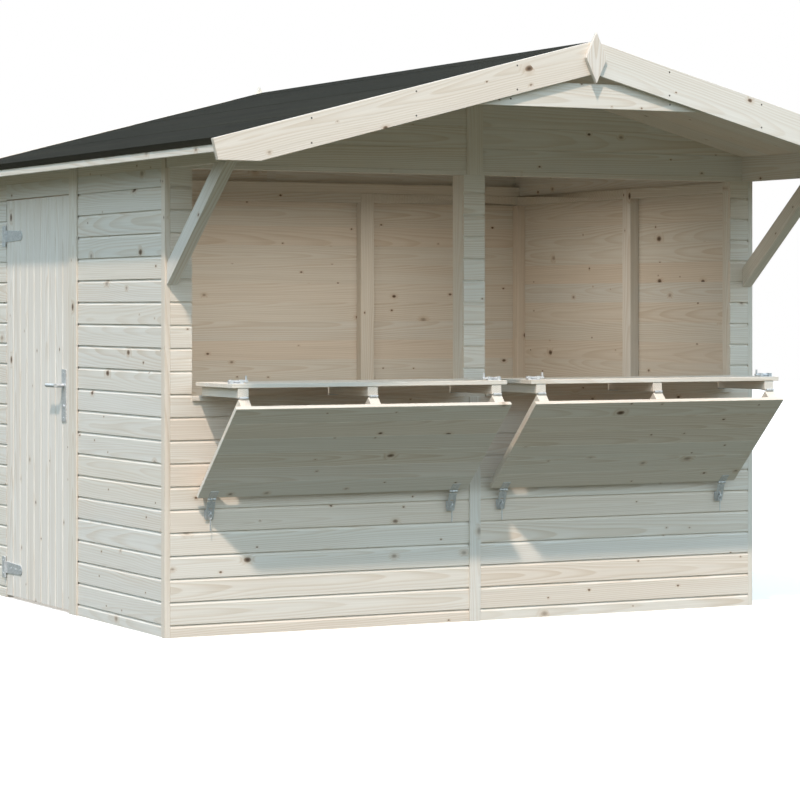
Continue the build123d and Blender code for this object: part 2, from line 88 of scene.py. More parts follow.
# What counts as the same place, way or level, and as a sharp edge
touch = 1e-5
flat_share = 0.995              # of a face's normal, along the way that it looks
level_digits = 4
facet_turn = radians(1)         # facets that turn less make one face
eased_turn = radians(30)        # edges that turn more are rounded
crease_turn = radians(35)       # edges that turn more are shaded sharp

# Roofing felt
felt_laps = (0.16, 0.68, 1.20)  # ridge to each lap, down the slope
felt_lap_step = 0.0009
felt_lap_run = 0.0008
felt_top_depth = felt_lap_step * len(felt_laps) + felt_lap_step / 2     # the sunk top face lies within it

# Screws, nails and wire clips
head_sides = 12
screw_radius = 0.0042
screw_rise = 0.0018
flush_rise = 0.0005             # on the flaps, where a hasp folds back over the heads
nail_radius = 0.0034
nail_rise = 0.0009
lock_radius = 0.0085
lock_rise = 0.0030
lock_slot = Vector((0.0020, 0.0090, 0.0006))
barge_nail_places = (0.34, 0.77, 1.20)      # ridge line to each pair
barge_nail_inset = 0.018
clip_wire = 0.0013
clip_ring_radius = 0.0060
clip_ring_stretch = 0.006
clip_loop_radius = 0.0050
clip_loop_stretch = 0.040
clip_loop_turn = radians(50)
clip_drop = 0.0020              # eye's middle to the wire that lies in it
link_bends = 16
wire_sides = 8

# How a head is made up: rim and socket as shares of its rise, the dome's inset as a share of its radius
screw_rim_share, screw_dome_share, screw_socket_share = 0.35, 0.30, 0.55
nail_rim_share, nail_dome_share = 0.45, 0.30
lock_rim_share, lock_dome_share = 0.70, 0.14

# Where heads sit on a plate, as shares of half its size from its middle
pair_along_shares = ((-0.5, 0, 0), (0.5, 0, 0))
pair_upright_shares = ((0, 0, -0.62), (0, 0, 0.62))
strap_shares = ((0, -0.78, 0), (0, -0.20, 0), (0, 0.42, 0))
handle_shares = ((0, 0, -0.86), (0, 0, 0.86))
staple_shares = ((-0.62, 0, 0.62), (0.62, 0, 0.62), (-0.62, 0, -0.62), (0.62, 0, -0.62))
bolt_shares = ((0, -0.68, 0), (0, 0.68, 0))
lock_shares = ((0, 0, -0.42),)
collar_shares = ((-0.40, 0, -0.45), (0.40, 0, -0.45))

# Spruce: where each board is cut from its trunk, along it, across it and out from its heart
grain_seed = 41
grain_starts = ((0, 60), (-0.055, 0.055), (0.012, 0.075))
fair_tones = (0.0, 0.05)        # from fair through grey to warm
pale_tones = (0.10, 0.35)
warm_tones = (0.70, 1.0)
mixed_tones = (0.15, 1.0)
all_tones = (0.0, 1.0)
chance = random.Random(grain_seed)

# Floor, light and camera
floor_side = 60.0
sky_strength = 1.93
sky_lean = -0.25                # makes the sky brighter before the serving front
sky_stops = ((0.10, (0.10, 0.095, 0.07)), (0.25, (0.66, 0.79, 0.85)), (0.50, (0.66, 0.80, 0.90)),
             (0.80, (0.45, 0.60, 0.75)))
sun_way = Vector((-0.685, -1.0, 1.63))      # from the stall to the sun
sun_strength = 2.68
sun_spread = radians(2.2)
sun_colour = (1.0, 0.82, 0.70)
room_light_place = (0, 0.40, 1.80)
room_light_width = 1.6
room_light_depth = 0.7
room_light_power = 13.5
room_light_colour = (1.0, 0.93, 0.84)
camera_place = (-5.797, -10.990, 1.289)
camera_turn = radians(-27.63)
camera_lens = 130.6             # millimetres, as a camera's lens is named
camera_shift_share = -0.1164    # of the picture's width, so that uprights stay upright
white = (1.0, 1.0, 1.0, 1.0)

left, right = Vector((-1, 0, 0)), Vector((1, 0, 0))
front, back = Vector((0, -1, 0)), Vector((0, 1, 0))
up, down = Vector((0, 0, 1)), Vector((0, 0, -1))
sides = ("left", "right")
hasp_places = ("outer", "inner")


# Working on a piece

def read(items, key, kind=float, width=1):
    """One value, or a row of values, for each item of a mesh."""
    values = np.zeros(len(items) * width, kind)
    items.foreach_get(key, values)
    return values.reshape(-1, width) if width > 1 else values


def places(mesh):
    return read(mesh.vertices, "co", width=3)


def deselect_all():
    bpy.ops.object.select_all(action="DESELECT")


def take_up(piece):
    """Make a piece the only one selected."""
    deselect_all()
    piece.select_set(True)
    bpy.context.view_layer.objects.active = piece


def settle(piece):
    """Put a piece's place, turn and scale into its mesh."""
    take_up(piece)
    bpy.ops.object.transform_apply(location=True, rotation=True, scale=True)


def block(name, low, high):
    """Start a piece as a squared length of timber between two corners."""
    deselect_all()
    bpy.ops.mesh.primitive_cube_add(size=1, location=(low + high) / 2)
    piece = bpy.context.object
    piece.scale = high - low
    settle(piece)
    piece.name = name
    return piece


def copy_of(node, name):
    """Start a piece as a copy of a frame node, with its facets merged into whole faces."""
    deselect_all()
    piece = frame["nodes"][node].copy()
    piece.data = piece.data.copy()
    piece.parent = None
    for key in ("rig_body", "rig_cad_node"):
        piece.pop(key, None)
    bpy.context.scene.collection.objects.link(piece)
    piece.name = name
    piece.hide_viewport = piece.hide_render = False
    piece.data.materials.clear()
    take_up(piece)
    bpy.ops.mesh.customdata_custom_splitnormals_clear()
    bpy.ops.object.mode_set(mode="EDIT")
    bpy.ops.mesh.select_all(action="SELECT")
    bpy.ops.mesh.remove_doubles(threshold=touch)
    bpy.ops.mesh.dissolve_limited(angle_limit=facet_turn)
    bpy.ops.object.mode_set(mode="OBJECT")
    return piece


def move_where(piece, chosen, step):
    """Move the vertices whose place passes a test."""
    take_up(piece)
    bpy.ops.object.mode_set(mode="EDIT")
    bpy.ops.mesh.select_all(action="DESELECT")
    mesh = bmesh.from_edit_mesh(piece.data)
    for vertex in mesh.verts:
        vertex.select = chosen(vertex.co)
    mesh.select_flush_mode()
    bmesh.update_edit_mesh(piece.data)
    bpy.ops.transform.translate(value=step)
    bpy.ops.object.mode_set(mode="OBJECT")


def inset_top(piece, margin, lift):
    """Inset the highest level face of a piece and move it up or down."""
    top = float(places(piece.data)[:, 2].max())
    take_up(piece)
    bpy.ops.object.mode_set(mode="EDIT")
    bpy.ops.mesh.select_mode(type="FACE")
    bpy.ops.mesh.select_all(action="DESELECT")
    mesh = bmesh.from_edit_mesh(piece.data)
    for face in mesh.faces:
        face.select = face.normal.z > flat_share and face.calc_center_median().z > top - touch
    bmesh.update_edit_mesh(piece.data)
    bpy.ops.mesh.inset(thickness=margin)
    bpy.ops.transform.translate(value=up * lift)
    bpy.ops.mesh.select_mode(type="VERT")
    bpy.ops.object.mode_set(mode="OBJECT")


def cut(piece, point, normal, drop=False):
    """Cut a piece on a plane. With drop, what lies beyond the plane goes and the cut is closed."""
    if ((places(piece.data) - np.array(point)) @ np.array(normal)).max() < touch:
        return
    take_up(piece)
    bpy.ops.object.mode_set(mode="EDIT")
    bpy.ops.mesh.select_all(action="SELECT")
    bpy.ops.mesh.bisect(plane_co=point, plane_no=normal, use_fill=drop, clear_outer=drop)
    bpy.ops.object.mode_set(mode="OBJECT")


def apply_modifier(piece, kind, **settings):
    take_up(piece)
    modifier = piece.modifiers.new(kind.lower(), kind)
    for key, value in settings.items():
        setattr(modifier, key, value)
    bpy.ops.object.modifier_apply(modifier=modifier.name)


def ease(piece, width, segments=1):
    """Round the sharp edges of a piece."""
    apply_modifier(piece, "BEVEL", width=width, segments=segments, limit_method="ANGLE",
                   angle_limit=eased_turn, use_clamp_overlap=True)


def repeat(piece, count, step):
    apply_modifier(piece, "ARRAY", count=count, use_relative_offset=False, use_constant_offset=True,
                   constant_offset_displace=step)


def join(pieces, name):
    take_up(pieces[0])
    for piece in pieces:
        piece.select_set(True)
    if len(pieces) > 1:
        bpy.ops.object.join()
    pieces[0].name = name
    return pieces[0]


def solid_marks(mesh):
    """A number for each face, the same all over one solid. Solids that only share an edge stay apart."""
    edges = read(mesh.loops, "edge_index", int)
    owners = np.repeat(np.arange(len(mesh.polygons)), read(mesh.polygons, "loop_total", int))
    order = np.argsort(edges, kind="stable")
    uses = np.bincount(edges, minlength=len(mesh.edges))
    paired = order[uses[edges[order]] == 2]
    starts, stops = owners[paired[0::2]], owners[paired[1::2]]
    marks = np.arange(len(mesh.polygons))
    settled = False
    while not settled:
        lowest = np.minimum(marks[starts], marks[stops])
        spread = marks.copy()
        np.minimum.at(spread, starts, lowest)
        np.minimum.at(spread, stops, lowest)
        spread = spread[spread]
        settled = bool((spread == marks).all())
        marks = spread
    return marks


def marked_corners(mesh):
    """The place of each face corner of a mesh, and the number of its solid."""
    spots = places(mesh)[read(mesh.loops, "vertex_index", int)]
    return spots, np.repeat(solid_marks(mesh), read(mesh.polygons, "loop_total", int))


def solids(node):
    """The two corners of each solid of a frame node."""
    piece = copy_of(node, f"{node}_measure")
    spots, marks = marked_corners(piece.data)
    bpy.data.objects.remove(piece)
    groups = [spots[marks == mark] for mark in np.unique(marks)]
    return [(Vector(group.min(0)), Vector(group.max(0))) for group in groups]


def plates(node, way):
    """The largest flat side that looks a given way on each solid of a node: its middle and half its size."""
    piece = copy_of(node, f"{node}_measure")
    spots = places(piece.data)
    levels = {}
    for mark, face in zip(solid_marks(piece.data), piece.data.polygons):
        if face.normal.dot(way) > flat_share:
            level = round(face.center.dot(way), level_digits)
            levels.setdefault(mark, {}).setdefault(level, []).append((face.area, list(face.vertices)))
    bpy.data.objects.remove(piece)
    found = []
    for faces in levels.values():
        largest = max(faces.values(), key=lambda side: sum(area for area, corners in side))
        outline = spots[[corner for area, corners in largest for corner in corners]]
        low, high = Vector(outline.min(0)), Vector(outline.max(0))
        found.append(((low + high) / 2, (high - low) / 2))
    return found


def lay_grain(piece, along=None, tones=all_tones):
    """Give each board its own run of grain: metres along, across and through it, and a tone."""
    mesh = piece.data
    spots, marks = marked_corners(mesh)
    grain, tone = np.zeros_like(spots), np.zeros(len(spots))
    for mark in np.unique(marks):
        board = marks == mark
        centred = spots[board] - spots[board].mean(0)
        if along is None:
            axes = np.linalg.svd(centred, full_matrices=False)[2]
        else:
            run = np.array(along)
            across = centred - np.outer(centred @ run, run)
            axes = np.vstack([run, np.linalg.svd(across, full_matrices=False)[2][:2]])
        start = [chance.uniform(*limits) for limits in grain_starts]
        grain[board] = centred @ axes.T + np.array(start)
        tone[board] = chance.uniform(*tones)
    mesh.attributes.new("grain", "FLOAT_VECTOR", "CORNER").data.foreach_set("vector", grain.ravel())
    mesh.attributes.new("tone", "FLOAT", "CORNER").data.foreach_set("value", tone)


def fit(piece, body, slot, material, *nodes):
    """Hand a finished piece over: what carries it, its finish and the nodes it stands for. The slot is not
    used.
    """
    piece.data.materials.clear()
    piece.data.materials.append(material)
    take_up(piece)
    bpy.ops.object.shade_smooth_by_angle(angle=crease_turn)
    apply_modifier(piece, "WEIGHTED_NORMAL", keep_sharp=True)
    deselect_all()
    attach(piece, body)
    if nodes:
        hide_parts(*nodes)


# Materials

noise_middle = 0.5


class Tree:
    """A short hand for the nodes of a material or of the sky."""

    def __init__(self, owner):
        owner.use_nodes = True
        self.owner = owner
        self.nodes = owner.node_tree.nodes
        self.links = owner.node_tree.links
        self.shader = self.nodes.get("Principled BSDF")

    def put(self, value, socket):
        """Link a socket to another, or set it."""
        if isinstance(value, bpy.types.NodeSocket):
            self.links.new(value, socket)
        else:
            socket.default_value = value

    def finish(self, **sockets):
        """Set the shader's sockets, named with underscores, and give the material back."""
        for key, value in sockets.items():
            self.put(value, self.shader.inputs[key.replace("_", " ")])
        return self.owner

    def node(self, kind, inputs=None, **settings):
        node = self.nodes.new(f"ShaderNode{kind}")
        for key, value in settings.items():
            setattr(node, key, value)
        for key, value in (inputs or {}).items():
            self.put(value, node.inputs[key])
        return node

    def math(self, operation, *values):
        return self.node("Math", dict(enumerate(values)), operation=operation).outputs[0]

    def vector(self, operation, *values):
        node = self.node("VectorMath", dict(enumerate(values)), operation=operation)
        return node.outputs["Value"] if operation == "LENGTH" else node.outputs[0]

    def noise(self, place, scale, detail=2.0, roughness=0.5):
        scaled = self.vector("MULTIPLY", place, scale)
        inputs = {"Vector": scaled, "Scale": 1.0, "Detail": detail, "Roughness": roughness}
        return self.node("TexNoise", inputs)

    def range(self, value, low, high, new_low=0.0, new_high=1.0):
        inputs = {"Value": value, "From Min": low, "From Max": high, "To Min": new_low, "To Max": new_high}
        return self.node("MapRange", inputs, interpolation_type="SMOOTHSTEP").outputs[0]

    def mix(self, share, first, second, blend="MIX"):
        node = self.node("Mix", data_type="RGBA", blend_type=blend)
        for value, place in ((share, 0), (first, 6), (second, 7)):
            self.put(value, node.inputs[place])
        return node.outputs[2]

    def ramp(self, value, stops):
        node = self.node("ValToRGB", {"Fac": value})
        elements = node.color_ramp.elements
        while len(elements) < len(stops):
            elements.new(1.0)
        for element, (place, colour) in zip(elements, stops):
            element.position = place
            element.color = (*colour, 1.0)
        return node.outputs["Color"]

    def bump(self, height, distance, strength=1.0):
        inputs = {"Height": height, "Distance": distance, "Strength": strength}
        return self.node("Bump", inputs).outputs[0]


def planed_spruce():
    """Untreated planed spruce: rings cut by the board, fine fibres, and knots that the rings flow round."""
    fair, grey = (0.840, 0.808, 0.758), (0.768, 0.756, 0.715)
    light, warm = (0.795, 0.760, 0.692), (0.800, 0.715, 0.620)
    late_colour, halo_colour = (0.52, 0.385, 0.245, 1.0), (0.46, 0.29, 0.145, 1.0)
    knot_colour, heart_colour = (0.19, 0.105, 0.050, 1.0), (0.060, 0.034, 0.020, 1.0)
    tree = Tree(bpy.data.materials.new("planed_spruce"))
    grain = tree.node("Attribute", attribute_name="grain").outputs["Vector"]
    tone = tree.node("Attribute", attribute_name="tone").outputs["Fac"]

    # Knots lie square through the board, one to a cell at most, and most of them small
    cells_per_metre = (6.2, 9.5, 0.0)
    knot_share, smallest_share, largest_share, size_power = 0.36, 0.028, 0.120, 3.2
    wander_scale, wander_share = (60, 60, 60), 0.03
    deadness = (0.15, 0.65, 0.35, 1.0)
    knot_rim, heart_rim, halo_rim = (1.15, 0.75), (0.85, 0.25), (2.8, 0.9)      # in knot radii
    cell_place = tree.vector("MULTIPLY", grain, cells_per_metre)
    cell = tree.node("TexVoronoi", {"Vector": cell_place, "Scale": 1.0}, voronoi_dimensions="2D")
    wander = tree.math("SUBTRACT", tree.noise(grain, wander_scale).outputs["Fac"], noise_middle)
    distance = tree.math("MULTIPLY_ADD", wander, wander_share, cell.outputs["Distance"])
    pick = tree.node("SeparateColor", {"Color": cell.outputs["Color"]}).outputs
    present = tree.math("GREATER_THAN", knot_share, pick["Red"])
    growth = tree.math("POWER", pick["Green"], size_power)
    size = tree.math("MULTIPLY_ADD", growth, largest_share - smallest_share, smallest_share)
    nearness = tree.math("DIVIDE", distance, size)
    dead = tree.math("MULTIPLY", tree.range(pick["Blue"], *deadness), present)
    knot = tree.math("MULTIPLY", tree.range(nearness, *knot_rim), dead)
    heart = tree.math("MULTIPLY", tree.range(nearness, *heart_rim), dead)
    halo = tree.math("MULTIPLY", tree.range(nearness, *halo_rim), present)

    # Rings of the tapering trunk, bent a little along the board and round each knot
    rings_per_metre = 140.0
    trunk_taper, knot_bend = 0.022, 0.008
    sway_scale, sway_reach = (1.1, 2.0, 2.0), (0.0, 0.040, 0.040)
    uneven_scale, uneven_rings = (0.4, 9.0, 9.0), 2.0
    late_start, late_end = (0.25, 0.90), (1.0, 0.90)        # as shares of a ring
    sway = tree.vector("SUBTRACT", tree.noise(grain, sway_scale).outputs["Color"], (noise_middle,) * 3)
    swayed = tree.vector("ADD", grain, tree.vector("MULTIPLY", sway, sway_reach))
    across = tree.vector("MULTIPLY", swayed, (0.0, 1.0, 1.0))
    along = tree.node("SeparateXYZ", {"Vector": grain}).outputs["X"]
    girth = tree.math("ADD", tree.vector("LENGTH", across), tree.math("MULTIPLY", along, trunk_taper))
    bent = tree.math("MULTIPLY_ADD", halo, knot_bend, girth)
    uneven = tree.math("MULTIPLY", tree.noise(grain, uneven_scale).outputs["Fac"], uneven_rings)
    ring = tree.math("FRACT", tree.math("MULTIPLY_ADD", bent, rings_per_metre, uneven))
    late = tree.math("MULTIPLY", tree.range(ring, *late_start), tree.range(ring, *late_end))

    # Fibres, and patches where the wood is warmer and its rings stronger
    fibre_scale, fibre_detail, fibre_roughness = (1.8, 140.0, 140.0), 3.0, 0.6
    patch_scale = (0.9, 7.0, 7.0)
    patch_warmth, patch_rings = (0.45, 0.75, 0.0, 0.40), (0.25, 0.75, 0.14, 0.36)
    fibre = tree.noise(grain, fibre_scale, fibre_detail, fibre_roughness).outputs["Fac"]
    patch = tree.noise(grain, patch_scale).outputs["Fac"]

    # Colour, one layer on another
    fibre_stops = ((0.25, (0.90, 0.89, 0.875)), (0.62, (1.0, 1.0, 1.0)))
    halo_share, stain_share, heart_share = 0.26, 0.74, 0.80
    board_stops = (*zip(fair_tones, (fair, fair)), *zip(pale_tones, (grey, light)),
                   *zip(warm_tones, (light, warm)))
    board = tree.ramp(tone, board_stops)
    patched = tree.mix(tree.range(patch, *patch_warmth), board, (*warm, 1.0))
    ring_share = tree.math("MULTIPLY", late, tree.range(patch, *patch_rings))
    ringed = tree.mix(ring_share, patched, late_colour)
    streaked = tree.mix(1.0, ringed, tree.ramp(fibre, fibre_stops), "MULTIPLY")
    haloed = tree.mix(tree.math("MULTIPLY", halo, halo_share), streaked, halo_colour)
    knotted = tree.mix(tree.math("MULTIPLY", knot, stain_share), haloed, knot_colour)
    hearted = tree.mix(tree.math("MULTIPLY", heart, heart_share), knotted, heart_colour)

    # Relief: late wood and fibres stand up, knots lie a little lower
    relief_rise, relief_share = 0.0006, 0.5
    late_share, fibre_share, sunk_share = 0.5, 0.6, 0.6
    fibre_gloss, spruce_specular = (0.3, 0.7, 0.68, 0.56), 0.25
    raised = tree.math("MULTIPLY_ADD", late, late_share, tree.math("MULTIPLY", fibre, fibre_share))
    height = tree.math("SUBTRACT", raised, tree.math("MULTIPLY", knot, sunk_share))
    return tree.finish(Base_Color=hearted, Roughness=tree.range(fibre, *fibre_gloss),
                       Specular_IOR_Level=spruce_specular,
                       Normal=tree.bump(height, relief_rise, relief_share))


def roofing_felt():
    """Mineral-faced felt: dark granules, cloudy wear and faint streaks along its width."""
    granule_stops = ((0.0, (0.011, 0.010, 0.007)), (0.75, (0.020, 0.019, 0.013)),
                     (1.0, (0.052, 0.048, 0.033)))
    worn_colour, streak_colour = (0.013, 0.012, 0.008, 1.0), (0.037, 0.034, 0.023, 1.0)
    granules_per_metre, granule_rise, granule_share = 900.0, 0.0009, 0.8
    cloud_scale, cloud_detail, cloud_roughness = (2.5, 1.2, 2.5), 4.0, 0.6
    streak_scale, streak_detail = (26.0, 0.35, 26.0), 3.0
    wear, streaking = (0.3, 0.7, 0.0, 0.45), (0.42, 0.72, 0.0, 0.45)
    felt_roughness, felt_specular = 0.92, 0.06
    tree = Tree(bpy.data.materials.new("roofing_felt"))
    place = tree.node("TexCoord").outputs["Object"]
    grit = tree.node("TexVoronoi", {"Vector": place, "Scale": granules_per_metre})
    speck = tree.node("SeparateColor", {"Color": grit.outputs["Color"]}).outputs["Red"]
    cloud = tree.noise(place, cloud_scale, cloud_detail, cloud_roughness).outputs["Fac"]
    streak = tree.noise(place, streak_scale, streak_detail).outputs["Fac"]
    worn = tree.mix(tree.range(cloud, *wear), tree.ramp(speck, granule_stops), worn_colour)
    lined = tree.mix(tree.range(streak, *streaking), worn, streak_colour)
    return tree.finish(Base_Color=lined, Roughness=felt_roughness, Specular_IOR_Level=felt_specular,
                       Normal=tree.bump(speck, granule_rise, granule_share))


def galvanised_steel():
    """Zinc-plated steel: dull spangle, fine scratches and a few duller spots."""
    zinc_stops = ((0.0, (0.62, 0.64, 0.66)), (1.0, (0.76, 0.78, 0.79)))
    dull_colour = (0.46, 0.48, 0.49, 1.0)
    spangles_per_metre = 160.0
    spot_scale, spot_detail, spot_roughness = (45, 45, 45), 4.0, 0.6
    scratch_scale, scratch_gloss, scratch_depth, scratch_share = (420, 60, 420), 0.1, 0.0002, 0.4
    dulling, dull_gloss = (0.5, 0.75, 0.0, 0.5), (0.3, 0.7, 0.36, 0.52)
    metal_share = 0.62
    tree = Tree(bpy.data.materials.new("galvanised_steel"))
    place = tree.node("TexCoord").outputs["Object"]
    spangle = tree.node("TexVoronoi", {"Vector": place, "Scale": spangles_per_metre})
    tint = tree.node("SeparateColor", {"Color": spangle.outputs["Color"]}).outputs["Red"]
    spot = tree.noise(place, spot_scale, spot_detail, spot_roughness).outputs["Fac"]
    scratch = tree.noise(place, scratch_scale).outputs["Fac"]
    dulled = tree.mix(tree.range(spot, *dulling), tree.ramp(tint, zinc_stops), dull_colour)
    rough = tree.math("MULTIPLY_ADD", scratch, scratch_gloss, tree.range(spot, *dull_gloss))
    return tree.finish(Base_Color=dulled, Metallic=metal_share, Roughness=rough,
                       Normal=tree.bump(scratch, scratch_depth, scratch_share))


def dull_nail():
    """Nail heads gone dark in the weather."""
    rust_stops = ((0.3, (0.050, 0.046, 0.042)), (0.7, (0.105, 0.078, 0.055)))
    rust_scale, metal_share, rust_roughness = (300, 300, 300), 0.3, 0.65
    tree = Tree(bpy.data.materials.new("dull_nail"))
    place = tree.node("TexCoord").outputs["Object"]
    rust = tree.ramp(tree.noise(place, rust_scale).outputs["Fac"], rust_stops)
    return tree.finish(Base_Color=rust, Metallic=metal_share, Roughness=rust_roughness)


def pale_floor():
    """Pale to the eye, and dark as a street in what it throws back on the stall."""
    pale_stops = ((0.3, (0.80, 0.80, 0.79)), (0.7, (0.84, 0.84, 0.83)))
    street_colour, glow_colour = (0.063, 0.064, 0.036, 1.0), (1.0, 0.95, 0.90, 1.0)
    cloud_scale, cloud_detail = (0.4, 0.4, 0.4), 3.0
    glow_strength, floor_roughness = 0.30, 0.9
    tree = Tree(bpy.data.materials.new("pale_floor"))
    place = tree.node("TexCoord").outputs["Object"]
    pale = tree.ramp(tree.noise(place, cloud_scale, cloud_detail).outputs["Fac"], pale_stops)
    seen = tree.node("LightPath").outputs["Is Camera Ray"]
    return tree.finish(Base_Color=tree.mix(seen, street_colour, pale), Roughness=floor_roughness,
                       Emission_Color=glow_colour,
                       Emission_Strength=tree.math("MULTIPLY", seen, glow_strength))


spruce = planed_spruce()
felt = roofing_felt()
steel = galvanised_steel()
nail_iron = dull_nail()


# Boards on the walls

def wall_boards(name, low, high, out, limits=(), joint=wall_joint):
    """Lay boards over a stretch of wall, trimmed to its outline."""
    gap, chamfer, depth = joint
    base = first_joint + floor((low.z - first_joint) / board_pitch + touch) * board_pitch
    count = ceil((high.z - base) / board_pitch - touch)
    top = base + board_pitch
    board = block(name, Vector((*low.xy, base)), Vector((*high.xy, top)))
    face = max(out.dot(low), out.dot(high))
    for level in (top - gap - chamfer, top - gap):
        cut(board, up * level, up)
    move_where(board, lambda spot: spot.z > top - gap - touch and out.dot(spot) > face - touch, out * -depth)
    ease(board, board_edge)
    repeat(board, count, up * board_pitch)
    trims = [(up * low.z, down), (up * high.z, up), *limits]
    for point, normal in trims:
        cut(board, point, normal, drop=True)
    return board


walls = (
    ("front_low_wall_left", front, right, mixed_tones), ("front_low_wall_right", front, right, mixed_tones),
    ("front_strips", front, right, mixed_tones), ("back_wall", back, right, mixed_tones),
    ("left_wall", left, back, pale_tones), ("door_head", left, back, pale_tones),
    ("right_wall", right, back, mixed_tones),
)
for node, out, along, tones in walls:
    name = f"{node}_boards"
    stretches = [wall_boards(name, low, high, out) for low, high in solids(node)]
    piece = join(stretches, name)
    lay_grain(piece, along, tones)
    fit(piece, "stall", "planed_spruce", spruce, node)

# Gables, cut to the slope of the roof and round the ridge beam
ridge_beam = max(solids("roof_beams"), key=lambda corners: corners[1].z)
for node, out in (("front_gable", front), ("back_gable", back)):
    low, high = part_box(node)
    spots = places(frame["nodes"][node].data)
    shoulder = spots[spots[:, 0] > high.x - touch][:, 2].max()
    peak = spots[:, 2].max()
    peak_x = abs(spots[spots[:, 2] > peak - touch][:, 0]).max()
    rise, run = peak - shoulder, high.x - peak_x
    roof_slope = rise / run     # the same at both gables
    halves = []
    for side in (left, right):
        inner, outer = side.x * peak_x, side.x * high.x
        slope = Vector((side.x * rise, 0, run)).normalized()
        half_low = Vector((min(inner, outer), low.y, low.z))
        half_high = Vector((max(inner, outer), high.y, high.z))
        limits = [(Vector((outer, 0, shoulder)), slope)]
        halves.append(wall_boards(node, half_low, half_high, out, limits, gable_joint))
    middle_low = Vector((-peak_x, low.y, low.z))
    middle_high = Vector((peak_x, high.y, ridge_beam[0].z))
    halves.append(wall_boards(node, middle_low, middle_high, out, (), gable_joint))
    piece = join(halves, f"{node}_boards")
    lay_grain(piece, right, pale_tones)
    fit(piece, "stall", "planed_spruce", spruce, node)

# The door's upright boards
low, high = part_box("door_leaf")
door_pitch = (high.y - low.y) / door_board_count
board = block("door_boards", low, Vector((high.x, low.y + door_pitch, high.z)))
for edge, inward in ((low.y, 1), (low.y + door_pitch, -1)):
    cut(board, back * (edge + inward * door_groove), back)
    move_where(board, lambda spot: abs(spot.y - edge) < touch and spot.x < low.x + touch, right * door_groove)
ease(board, board_edge)
repeat(board, door_board_count, back * door_pitch)
lay_grain(board, up, fair_tones)
fit(board, "door", "planed_spruce", spruce, "door_leaf")


# Boards that lie flush: the roof deck, the counters and the flaps

def flush_boards(node, name, start, step, count, far):
    """Cut one board out of a node's form and repeat it, up to the far plane."""
    board = copy_of(node, name)
    way = step.normalized()
    cut(board, start + step, way, drop=True)
    cut(board, start, -way, drop=True)
    ease(board, plain_edge)
    repeat(board, count, step)
    cut(board, far, way, drop=True)
    return board


flap_falls = {}                 # down the outer face of each flap
for side in sides:
    node = f"roof_deck_{side}"
    low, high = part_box(node)
    count = ceil((high.y - low.y) / board_pitch)
    piece = flush_boards(node, f"{node}_boards", low, back * board_pitch, count, high)
    lay_grain(piece, None, warm_tones)
    fit(piece, "stall", "planed_spruce", spruce, node)

    node = f"counter_board_{side}"
    low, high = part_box(node)
    count = round((high.y - low.y) / board_pitch)
    piece = flush_boards(node, f"{node}_boards", low, back * ((high.y - low.y) / count), count, high)
    lay_grain(piece, right)
    fit(piece, f"counter_{side}", "planed_spruce", spruce, node)

    node = f"flap_board_{side}"
    spots = places(frame["nodes"][node].data)
    nearest = Vector(spots[spots[:, 1].argmin()])
    lowest = Vector(spots[spots[:, 2].argmin()])
    fall = Vector((0, lowest.y - nearest.y, lowest.z - nearest.z))
    flap_falls[side] = fall.normalized()
    count = round(fall.length / board_pitch)
    piece = flush_boards(node, f"{node}_boards", nearest, fall / count, count, lowest)
    lay_grain(piece, right)
    fit(piece, f"flap_{side}", "planed_spruce", spruce, node)

# Timbers with eased edges
barges = [(f"{end}_barge_{side}", end, side) for end in ("front", "back") for side in sides]
timbers = {
    "stall": ["serving_sills", "corner_battens", "cover_strips", "wall_studs", "wall_rails", "gable_rails",
              "roof_beams", "braces", "fascias", "finials", "collar_board",
              *(node for node, end, side in barges)],
    "door": ["door_ledges", "door_braces"],
    **{f"counter_{side}": [f"counter_battens_{side}"] for side in sides},
    **{f"flap_{side}": [f"flap_battens_{side}"] for side in sides},
}
for body, nodes in timbers.items():
    for node in nodes:
        piece = copy_of(node, f"{node}_timber")
        ease(piece, timber_edge, 2)
        lay_grain(piece)
        fit(piece, body, "planed_spruce", spruce, node)

# A weather bar on each sill keeps the rain off the foot of the closed counter
sill_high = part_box("serving_sills")[1]
bars = []
for side in sides:
    battens = sorted(solids(f"counter_battens_{side}"), key=lambda corners: corners[0].x)
    for before, after in zip(battens, battens[1:]):
        bar_low = Vector((before[1].x + bar_clear, before[1].y + bar_clear, sill_high.z))
        bar_high = Vector((after[0].x - bar_clear, bar_low.y + bar_depth, sill_high.z + bar_rise))
        bars.append(block("weather_bar", bar_low, bar_high))
bars = join(bars, "sill_weather_bars")
ease(bars, timber_edge, 2)
lay_grain(bars, right, warm_tones)
fit(bars, "stall", "planed_spruce", spruce)

# Fittings with eased edges
fittings = {
    "stall": ["sill_hinges", "hasp_staples", "staple_plates", "door_hinge_plates"],
    "door": ["door_straps", "door_handle"],
    **{f"counter_{side}": [f"counter_hinges_{side}", f"counter_bolts_{side}"] for side in sides},
    **{f"flap_{side}": [f"flap_hinges_{side}"] for side in sides},
    **{f"hasp_{side}_{place}": [f"hasp_{side}_{place}"] for side in sides for place in hasp_places},
}
for body, nodes in fittings.items():
    for node in nodes:
        piece = copy_of(node, f"{node}_steel")
        ease(piece, steel_edge)
        fit(piece, body, "galvanised_steel", steel, node)


# Screws, nails, locks and wire clips

def round_head(name, radius, rise, rim_share, dome_share, socket_share=0.0):
    """A domed head that stands on the origin. With a socket, its crown is sunk by a share of its rise."""
    deselect_all()
    rim = rise * rim_share
    bpy.ops.mesh.primitive_cylinder_add(vertices=head_sides, radius=radius, depth=rim, location=up * rim / 2)
    head = bpy.context.object
    head.name = name
    settle(head)
    inset_top(head, radius * dome_share, rise - rim)
    if socket_share:
        inset_top(head, radius * dome_share, -rise * socket_share)
    return head


